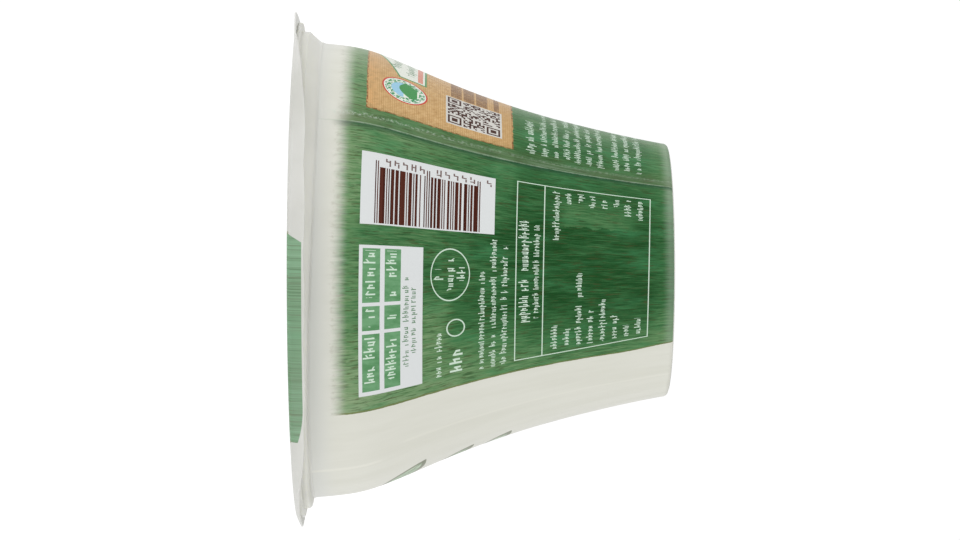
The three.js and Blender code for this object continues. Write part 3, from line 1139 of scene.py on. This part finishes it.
class Turner:
    """Makes turned pieces in edit mode."""

    @staticmethod
    def spin(name: str, outline: Outline, steps: int, start: float, turned: float) -> bpy.types.Object:
        """Spins an outline about the pot's axis.

        Args:
            name: The piece's name.
            outline: Points as radius and height in millimetres.
            steps: How many steps the turn has.
            start: The azimuth of the first column.
            turned: Degrees turned, towards growing azimuth.

        Returns:
            The piece, at the origin.
        """
        bpy.ops.object.select_all(action="DESELECT")
        places = [around(start, radius, height) for radius, height in outline]
        bpy.ops.mesh.primitive_plane_add(size=0.1 * MM, location=places[0])
        piece = bpy.context.object
        piece.name = name
        piece.data.name = name
        bpy.ops.object.mode_set(mode="EDIT")
        bpy.ops.mesh.select_mode(type="VERT")
        bpy.ops.mesh.select_all(action="SELECT")
        bpy.ops.mesh.merge(type="CENTER")
        for here, there in zip(places, places[1:]):
            bpy.ops.mesh.extrude_region_move(TRANSFORM_OT_translate={"value": there - here})
        bpy.ops.mesh.select_all(action="SELECT")
        bpy.ops.mesh.spin(steps=steps, angle=math.radians(turned), center=(0, 0, 0), axis=(0, 0, -1))
        bpy.ops.object.mode_set(mode="OBJECT")
        bpy.ops.object.transform_apply(location=True, rotation=True, scale=True)
        return piece

    @staticmethod
    def close(piece: bpy.types.Object) -> None:
        """Merges the doubles of a full turn and turns all faces outwards."""
        bpy.ops.object.mode_set(mode="EDIT")
        bpy.ops.mesh.select_all(action="SELECT")
        bpy.ops.mesh.remove_doubles(threshold=MERGE_DISTANCE)
        bpy.ops.mesh.dissolve_degenerate(threshold=MERGE_DISTANCE)
        bpy.ops.mesh.normals_make_consistent(inside=False)
        bpy.ops.object.mode_set(mode="OBJECT")

    @staticmethod
    def thicken(piece: bpy.types.Object, thickness: float) -> None:
        """Gives a sheet its thickness inwards and keeps its outer face where it is."""
        solidify = piece.modifiers.new("thickness", "SOLIDIFY")
        solidify.thickness = thickness * MM
        solidify.offset = -1.0
        solidify.use_even_offset = True
        bpy.ops.object.modifier_apply(modifier=solidify.name)

    @staticmethod
    def smooth(piece: bpy.types.Object) -> None:
        """Shades a piece smooth, with creases kept sharp."""
        bpy.ops.object.select_all(action="DESELECT")
        piece.select_set(True)
        bpy.context.view_layer.objects.active = piece
        bpy.ops.object.shade_smooth_by_angle(angle=SHARP_ANGLE)


def put_in_place(piece: bpy.types.Object, node: str, material: bpy.types.Material) -> None:
    """Dresses a piece and ties it to the frame.

    Args:
        piece: The finished mesh object.
        node: The CAD node it stands for.
        material: Its material.
    """
    piece.data.materials.clear()
    piece.data.materials.append(material)
    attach(piece, "root")
    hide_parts(node)
    log.info("%s: %d faces, stands for %s", piece.name, len(piece.data.polygons), node)


@dataclass
class Pot:
    """The moulded pot: a standing ring, a flared wall, a neck and a flange."""

    wall: Wall
    rim: Rim
    flange_radius: float
    flange_top: float
    foot_corner: float = 1.2
    ring_width: float = 4.4
    recess: float = 1.2
    set_back: float = 0.16
    neck_radius: float = 52.0
    flange_thickness: float = 1.5
    under_film: float = 0.22
    neck_start: float = 49.66
    neck_step: Point = (77.1, 78.2)
    slope_foot: float = 75.2
    slope_rise: float = 2.7
    slope_power: float = 0.85
    shoulder_radius: float = 48.9
    flange_under: Point = (78.5, 79.3)
    flange_thinned: float = 0.1
    flange_thinned_at_lap: float = 0.6
    segments: int = 288

    def underside(self) -> Outline:
        """The underside from the axis out: the gate's dimple, two moulded rings and the standing ring."""
        ring_outer = self.wall.foot[0] - self.foot_corner - self.set_back
        ring_inner = ring_outer - self.ring_width
        recess = self.recess
        dimple = [(0.0, recess + 0.5), (1.0, recess + 0.45), (1.5, recess + 0.1), (2.0, recess - 0.15)]
        dimple += [(2.6, recess - 0.15), (3.1, recess)]
        rings = []
        for radius in (9.0, 16.0):
            rings += [(radius - 0.5, recess), (radius - 0.25, recess - 0.25), (radius + 0.25, recess - 0.25)]
            rings += [(radius + 0.5, recess), (radius + 3.0, recess)]
        stand = [(ring_inner - 1.3, recess), (ring_inner - 0.8, recess - 0.12), (ring_inner - 0.2, 0.12)]
        stand += [(ring_inner + 0.15, 0.0), (ring_outer - 1.5, 0.0)]
        corner = []
        for step in range(7):
            angle = math.radians(-90 + 15 * step)
            radius = ring_outer + self.foot_corner * math.cos(angle)
            corner.append((radius, self.foot_corner * (1 + math.sin(angle))))
        return dimple + rings + stand + corner

    def outline(self) -> Outline:
        """The whole outline from the middle of the underside to the middle of the top."""
        wall = self.wall.points(1.4, 73.0, 60, self.set_back)
        wall += self.wall.points(73.6, 76.65, 6, self.set_back)
        under = self.flange_top - self.flange_thickness
        neck = [(49.7, 76.75), (49.72, 77.25), (49.95, 77.38), (50.5, 77.42), (51.2, 77.46), (51.65, 77.58)]
        neck += [(51.9, 77.8), (self.neck_radius, 78.1), (self.neck_radius, 78.3)]
        neck += [(self.neck_radius, under - 0.15), (self.neck_radius + 0.15, under)]
        edge = self.flange_radius
        top = self.flange_top + self.under_film
        flange = [(edge - 0.35, under), (edge - 0.1, under + 0.1), (edge, under + 0.25)]
        flange += [(edge, top - 0.4), (edge - 0.12, top - 0.12), (edge - 0.4, top)]
        inside = [(48.6, top), (48.2, top - 0.15), (48.0, top - 1.0), (47.0, top - 1.3), (24.0, top - 1.45)]
        return self.underside() + wall + neck + flange + inside + [(0.0, top - 1.5)]

    def shape(self, piece: bpy.types.Object) -> None:
        """Arches the rim, thins the flange and draws the neck's step into a slope towards +X."""
        for vertex in piece.data.vertices:
            point = vertex.co
            radius = math.hypot(point.x, point.y) / MM
            height = point.z / MM
            on_neck = self.neck_start - 0.06 < radius <= self.neck_radius + 0.01
            if on_neck and self.neck_step[0] < height < self.neck_step[1]:
                share = max(0.0, (radius - self.neck_start) / (self.neck_radius - self.neck_start))
                slope = self.slope_foot + self.slope_rise * share**self.slope_power
                point.z += (slope - height) * MM * self.rim.towards_lap(point)
            elif radius > self.shoulder_radius and height <= self.rim.squeeze_full:
                point.z -= self.rim.squeeze(point)
            elif radius > self.neck_radius - 0.01 and self.flange_under[0] < height < self.flange_under[1]:
                thinned = self.flange_thinned + self.flange_thinned_at_lap * self.rim.towards_lap(point)
                point.z += thinned * MM
            point.z += self.rim.lift(point)

    def build(self, material: bpy.types.Material) -> bpy.types.Object:
        """Makes the pot and puts it in place."""
        piece = Turner.spin("moulded_pot", self.outline(), self.segments, 0.0, 360.0)
        Turner.close(piece)
        self.shape(piece)
        Turner.smooth(piece)
        put_in_place(piece, "pot", material)
        return piece


@dataclass
class Label:
    """The label: a thin sheet wrapped once round the wall, with its end lapped over its start."""

    wall: Wall
    rim: Rim
    high: float = 76.9
    cut: float = SEAM
    lap: float = 3.0
    thickness: float = 0.12
    lap_lift: float = 0.1
    lap_pressed: float = 0.075
    ripple: float = 0.035
    rows: int = 60
    columns: int = 396

    def build(self, material: bpy.types.Material) -> bpy.types.Object:
        """Makes the label and puts it in place."""
        outline = self.outline()
        piece = Turner.spin("wrap_label", outline, self.columns, self.cut, 360.0 + self.lap)
        per_column = len(outline)
        step = (360.0 + self.lap) / self.columns
        columns = [vertex.index // per_column for vertex in piece.data.vertices]
        self.unroll(piece, columns, step)
        for vertex in piece.data.vertices:
            self.place(vertex, self.cut + columns[vertex.index] * step)
        bpy.ops.object.mode_set(mode="EDIT")
        bpy.ops.mesh.select_all(action="SELECT")
        bpy.ops.mesh.normals_make_consistent(inside=False)
        bpy.ops.object.mode_set(mode="OBJECT")
        Turner.thicken(piece, self.thickness)
        Turner.smooth(piece)
        put_in_place(piece, "label", material)
        return piece

    def outline(self) -> Outline:
        """The label's outline: round the foot's corner and up the wall."""
        foot_radius, corner = self.wall.foot
        centre = foot_radius - corner
        turns = [math.radians(angle) for angle in (-52, -40, -28, -16, -6)]
        round_foot = [(centre + corner * math.cos(turn), corner * (1 + math.sin(turn))) for turn in turns]
        return round_foot + self.wall.points(corner, self.high, self.rows, 0.0)

    def unroll(self, piece: bpy.types.Object, columns: list[int], step: float) -> None:
        """Gives the sheet a map that lays it out flat, by azimuth and height."""
        layer = piece.data.uv_layers.new(name="OFBake")
        wide = 0.96 / (step * self.columns)
        tall = 0.46 / self.high
        for loop in piece.data.loops:
            vertex = piece.data.vertices[loop.vertex_index]
            across = 0.02 + columns[vertex.index] * step * wide
            up = 0.02 + vertex.co.z / MM * tall
            layer.data[loop.index].uv = (across, up)

    def place(self, vertex: bpy.types.MeshVertex, azimuth: float) -> None:
        """Lifts the lapped end over the start, and ripples the sheet a little."""
        point = vertex.co
        height = point.z / MM
        into = azimuth - self.cut
        lapped = 1 - blend(self.lap - 0.9, self.lap + 0.7, into)
        ripple = self.ripple * math.sin(math.radians(azimuth * 9)) * math.sin(height * 0.21 + azimuth * 0.05)
        still_ends = blend(0.0, 6.0, into) * blend(360.0, 352.0, into)
        lift = self.lap_lift - self.lap_pressed * blend(69.0, 72.5, height)
        radius = math.hypot(point.x, point.y) / MM
        radius += lapped * lift + ripple * still_ends
        point.x = radius * math.sin(math.radians(azimuth)) * MM
        point.y = -radius * math.cos(math.radians(azimuth)) * MM
        point.z -= self.rim.squeeze(point)
        point.z += self.rim.lift(point)


@dataclass
class LidFilm:
    """The sealing film: a disc sealed to the flange, with a brim folded and crimped over its edge."""

    rim: Rim
    top: float
    bend_radius: float = 53.85
    reach: float = 2.2
    reach_at_front: float = 1.8
    front_falloff: float = 0.8
    slant: float = -0.05
    crimps: int = 18
    crimp_start: float = 3.7
    crimp_depth: float = 0.35
    thickness: float = 0.3
    sag: float = 0.55
    droop_at_side: float = 4.0
    droop_at_front: float = 80.0
    pleat_depth: float = 0.2
    seal_depth: float = 0.1
    swell: float = 0.16
    brim_steps: int = 14
    segments: int = 576

    def outline(self) -> Outline:
        """The flat film from its middle to the brim's tip, before it is shaped."""
        disc = [(radius, self.top) for radius in (0.0, 1.0, 2.5, 4.5, 7.0, 10.0, 13.0, 16.0, 19.0, 22.0)]
        disc += [(25.0 + 1.5 * step, self.top) for step in range(16)]
        disc += [(48.2 + 0.25 * step, self.top) for step in range(22)]
        steps = self.brim_steps
        brim = [(self.bend_radius + self.reach * step / steps, self.top) for step in range(steps + 1)]
        return disc + brim

    def crimp(self, azimuth: float) -> float:
        """How close an azimuth is to a fold: 1 on it, 0 halfway between two."""
        return 1 - abs(math.sin(math.radians(self.crimps / 2 * (azimuth - self.crimp_start))))

    def droop(self, azimuth: float) -> float:
        """How far the brim is folded down at an azimuth, in degrees."""
        sideways = math.sin(math.radians(azimuth))
        along = math.cos(math.radians(azimuth))
        at_side = self.droop_at_side - 21 * max(0.0, sideways) ** 20 + 22 * max(0.0, -sideways)
        folded = self.droop_at_front + 4 * along
        return at_side + (folded - at_side) * blend(0.4, 0.88, abs(along))

    def brim_point(self, azimuth: float, share: float) -> Point:
        """A point of the brim.

        Args:
            azimuth: Degrees round the pot.
            share: How far out it is, 0 at the bend and 1 at the tip.

        Returns:
            Its radius and height in millimetres.
        """
        front = max(0.0, math.cos(math.radians(azimuth))) ** self.front_falloff
        crimp = self.crimp(azimuth)
        reach = self.reach - self.slant * math.sin(math.radians(azimuth))
        reach += front * (self.reach_at_front - self.crimp_depth * crimp)
        full = math.radians(self.droop(azimuth))
        radius, height = self.bend_radius, self.top
        steps = self.brim_steps
        for step in range(round(share * steps)):
            angle = full * min(1.0, 0.25 + (step + 0.5) / steps * 2.2)
            radius += reach / steps * math.cos(angle)
            height -= reach / steps * math.sin(angle)
        pleat = crimp**4 * share * self.pleat_depth
        return radius - pleat, height

    def disc_height(self, radius: float, azimuth: float) -> float:
        """The height of the film over the pot: pressed on the seal, and slack inside it."""
        seal = self.seal_depth * (blend(48.5, 48.9, radius) - blend(52.9, 53.3, radius))
        slack = 1 - blend(20.0, 48.4, radius)
        turn = math.radians(azimuth)
        waves = math.sin(3 * turn + radius * 0.11) * 0.5 + math.sin(5 * turn - radius * 0.2 + 1.0) * 0.3
        folds = math.sin(radius * 0.32 * math.cos(turn - 0.6)) * 0.35
        loose = blend(0.0, 14.0, radius) * (1 - blend(36.0, 48.2, radius))
        return self.top - self.sag * slack - seal - self.swell * (1 + waves + folds) * loose

    def shape(self, piece: bpy.types.Object) -> None:
        """Gives the flat film its slack, its seal and its crimped brim."""
        for vertex in piece.data.vertices:
            point = vertex.co
            radius = math.hypot(point.x, point.y) / MM
            azimuth = azimuth_of(point) if radius > 0.001 else 0.0
            if radius > self.bend_radius + 0.001:
                share = (radius - self.bend_radius) / self.reach
                radius, height = self.brim_point(azimuth, share)
            else:
                height = self.disc_height(radius, azimuth)
            point.x, point.y, point.z = around(azimuth, radius, height)
            point.z += self.rim.lift(point)

    def build(self, material: bpy.types.Material) -> bpy.types.Object:
        """Makes the film and puts it in place."""
        piece = Turner.spin("sealing_film", self.outline(), self.segments, 0.0, 360.0)
        Turner.close(piece)
        self.shape(piece)
        self.face_up(piece)
        Turner.thicken(piece, self.thickness)
        Turner.smooth(piece)
        put_in_place(piece, "lid_film", material)
        return piece

    @staticmethod
    def face_up(piece: bpy.types.Object) -> None:
        """Turns the open sheet over if its faces point down."""
        rising = sum(face.normal.z * face.area for face in piece.data.polygons)
        if rising < 0:
            bpy.ops.object.mode_set(mode="EDIT")
            bpy.ops.mesh.select_all(action="SELECT")
            bpy.ops.mesh.flip_normals()
            bpy.ops.object.mode_set(mode="OBJECT")


# ---------------------------------------------------------------------------------------------
# Studio
# ---------------------------------------------------------------------------------------------


@dataclass
class Studio:
    """Pale surroundings, soft light and the camera, rolled so that the pot lies on its side."""

    camera_place: tuple[float, float, float] = (0.0, -0.766, 0.0501)
    lens: float = 131.3
    sensor: float = 36.0
    shift: float = 0.04375
    floor_size: float = 6.0
    floor_glow: float = 1.02
    below_horizon: float = 0.12
    above_horizon: float = 0.92
    seen_straight: float = 1.1
    lamp_distance: float = 1200.0
    lamp_size: float = 0.7
    lamp_target: tuple[float, float, float] = (0.0, 0.0, 0.04)

    def camera(self) -> None:
        """Adds the camera: it looks along +Y, with +X up and -Z to its right."""
        data = bpy.data.cameras.new("camera")
        data.lens = self.lens
        data.sensor_width = self.sensor
        data.shift_x = self.shift
        camera = bpy.data.objects.new("camera", data)
        bpy.context.scene.collection.objects.link(camera)
        right, up = Vector((0, 0, -1)), Vector((1, 0, 0))
        turned = Matrix((right, up, right.cross(up))).transposed()
        camera.matrix_world = Matrix.Translation(self.camera_place) @ turned.to_4x4()
        bpy.context.scene.camera = camera

    def surroundings(self) -> None:
        """A white world that is darker far below the horizon, except straight to the camera."""
        world = bpy.data.worlds.new("surroundings")
        bpy.context.scene.world = world
        world.use_nodes = True
        nodes, links = world.node_tree.nodes, world.node_tree.links
        nodes.clear()
        place = nodes.new("ShaderNodeTexCoord")
        parts = nodes.new("ShaderNodeSeparateXYZ")
        links.new(place.outputs["Generated"], parts.inputs[0])
        fall = nodes.new("ShaderNodeMapRange")
        fall.interpolation_type = "SMOOTHSTEP"
        fall.inputs["From Min"].default_value = -0.5
        fall.inputs["From Max"].default_value = 0.0
        fall.inputs["To Min"].default_value = self.below_horizon
        fall.inputs["To Max"].default_value = self.above_horizon
        links.new(parts.outputs[2], fall.inputs["Value"])
        path = nodes.new("ShaderNodeLightPath")
        brightest = nodes.new("ShaderNodeMath")
        brightest.operation = "MAXIMUM"
        links.new(fall.outputs[0], brightest.inputs[0])
        straight = nodes.new("ShaderNodeMath")
        straight.operation = "MULTIPLY"
        straight.inputs[1].default_value = self.seen_straight
        links.new(path.outputs["Is Camera Ray"], straight.inputs[0])
        links.new(straight.outputs[0], brightest.inputs[1])
        background = nodes.new("ShaderNodeBackground")
        background.inputs["Color"].default_value = (1.0, 1.0, 1.0, 1.0)
        links.new(brightest.outputs[0], background.inputs["Strength"])
        output = nodes.new("ShaderNodeOutputWorld")
        links.new(background.outputs[0], output.inputs[0])

    def floor(self) -> None:
        """A white floor that gives light back and leaves no shadow. It isn't seen from below."""
        bpy.ops.object.select_all(action="DESELECT")
        bpy.ops.mesh.primitive_plane_add(size=self.floor_size, location=(0, 0, 0))
        floor = bpy.context.object
        floor.name = "floor"
        paint = Paint("white_floor")
        white = {"Color": srgb(255, 255, 255), "Strength": self.floor_glow}
        glow = paint.add("ShaderNodeEmission", {}, white)
        clear = paint.add("ShaderNodeBsdfTransparent", {}, {})
        side = paint.add("ShaderNodeNewGeometry", {}, {}).outputs["Backfacing"]
        mixed = paint.add("ShaderNodeMixShader", {}, {0: side, 1: glow.outputs[0], 2: clear.outputs[0]})
        paint.add("ShaderNodeOutputMaterial", {}, {"Surface": mixed.outputs[0]})
        floor.data.materials.append(paint.material)
        floor.visible_glossy = False

    def lamp(self, name: str, azimuth: float, elevation: float, watts: float) -> None:
        """Adds a square soft light that faces the pot.

        Args:
            name: The light's name.
            azimuth: Degrees round the pot.
            elevation: Degrees above the floor.
            watts: Its power.
        """
        data = bpy.data.lights.new(name, "AREA")
        data.energy = watts
        data.size = self.lamp_size
        lamp = bpy.data.objects.new(name, data)
        bpy.context.scene.collection.objects.link(lamp)
        angle = math.radians(elevation)
        flat, high = self.lamp_distance * math.cos(angle), self.lamp_distance * math.sin(angle)
        lamp.location = around(azimuth, flat, high)
        aim = Vector(self.lamp_target) - lamp.location
        lamp.rotation_euler = aim.to_track_quat("-Z", "Y").to_euler()

    def build(self) -> None:
        """Sets up the whole studio."""
        self.camera()
        self.surroundings()
        self.floor()
        self.lamp("soft_light_upper", azimuth=50.0, elevation=30.0, watts=3.0)
        self.lamp("soft_light_lower", azimuth=-60.0, elevation=25.0, watts=2.0)
        view = bpy.context.scene.view_settings
        view.view_transform = "Standard"
        view.look = "None"
        view.exposure = 0.0
        view.gamma = 1.0
        log.info("studio: camera, floor, surroundings and lights")


def main() -> None:
    """Builds the pot around the frame."""
    logging.basicConfig(level=logging.INFO, format="%(name)s: %(message)s")
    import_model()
    pot_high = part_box("pot")[1] / MM
    Studio().build()
    wall = Wall()
    rim = Rim()
    pot = Pot(wall, rim, flange_radius=pot_high.x + FLANGE_PAST_CAD, flange_top=pot_high.z)
    pot.build(PotPlastic().material())
    Label(wall, rim).build(LabelPrint().material(wall))
    LidFilm(rim, top=pot_high.z + FILM_ABOVE_POT).build(FilmPrint().material())


if __name__ == "__main__":
    main()
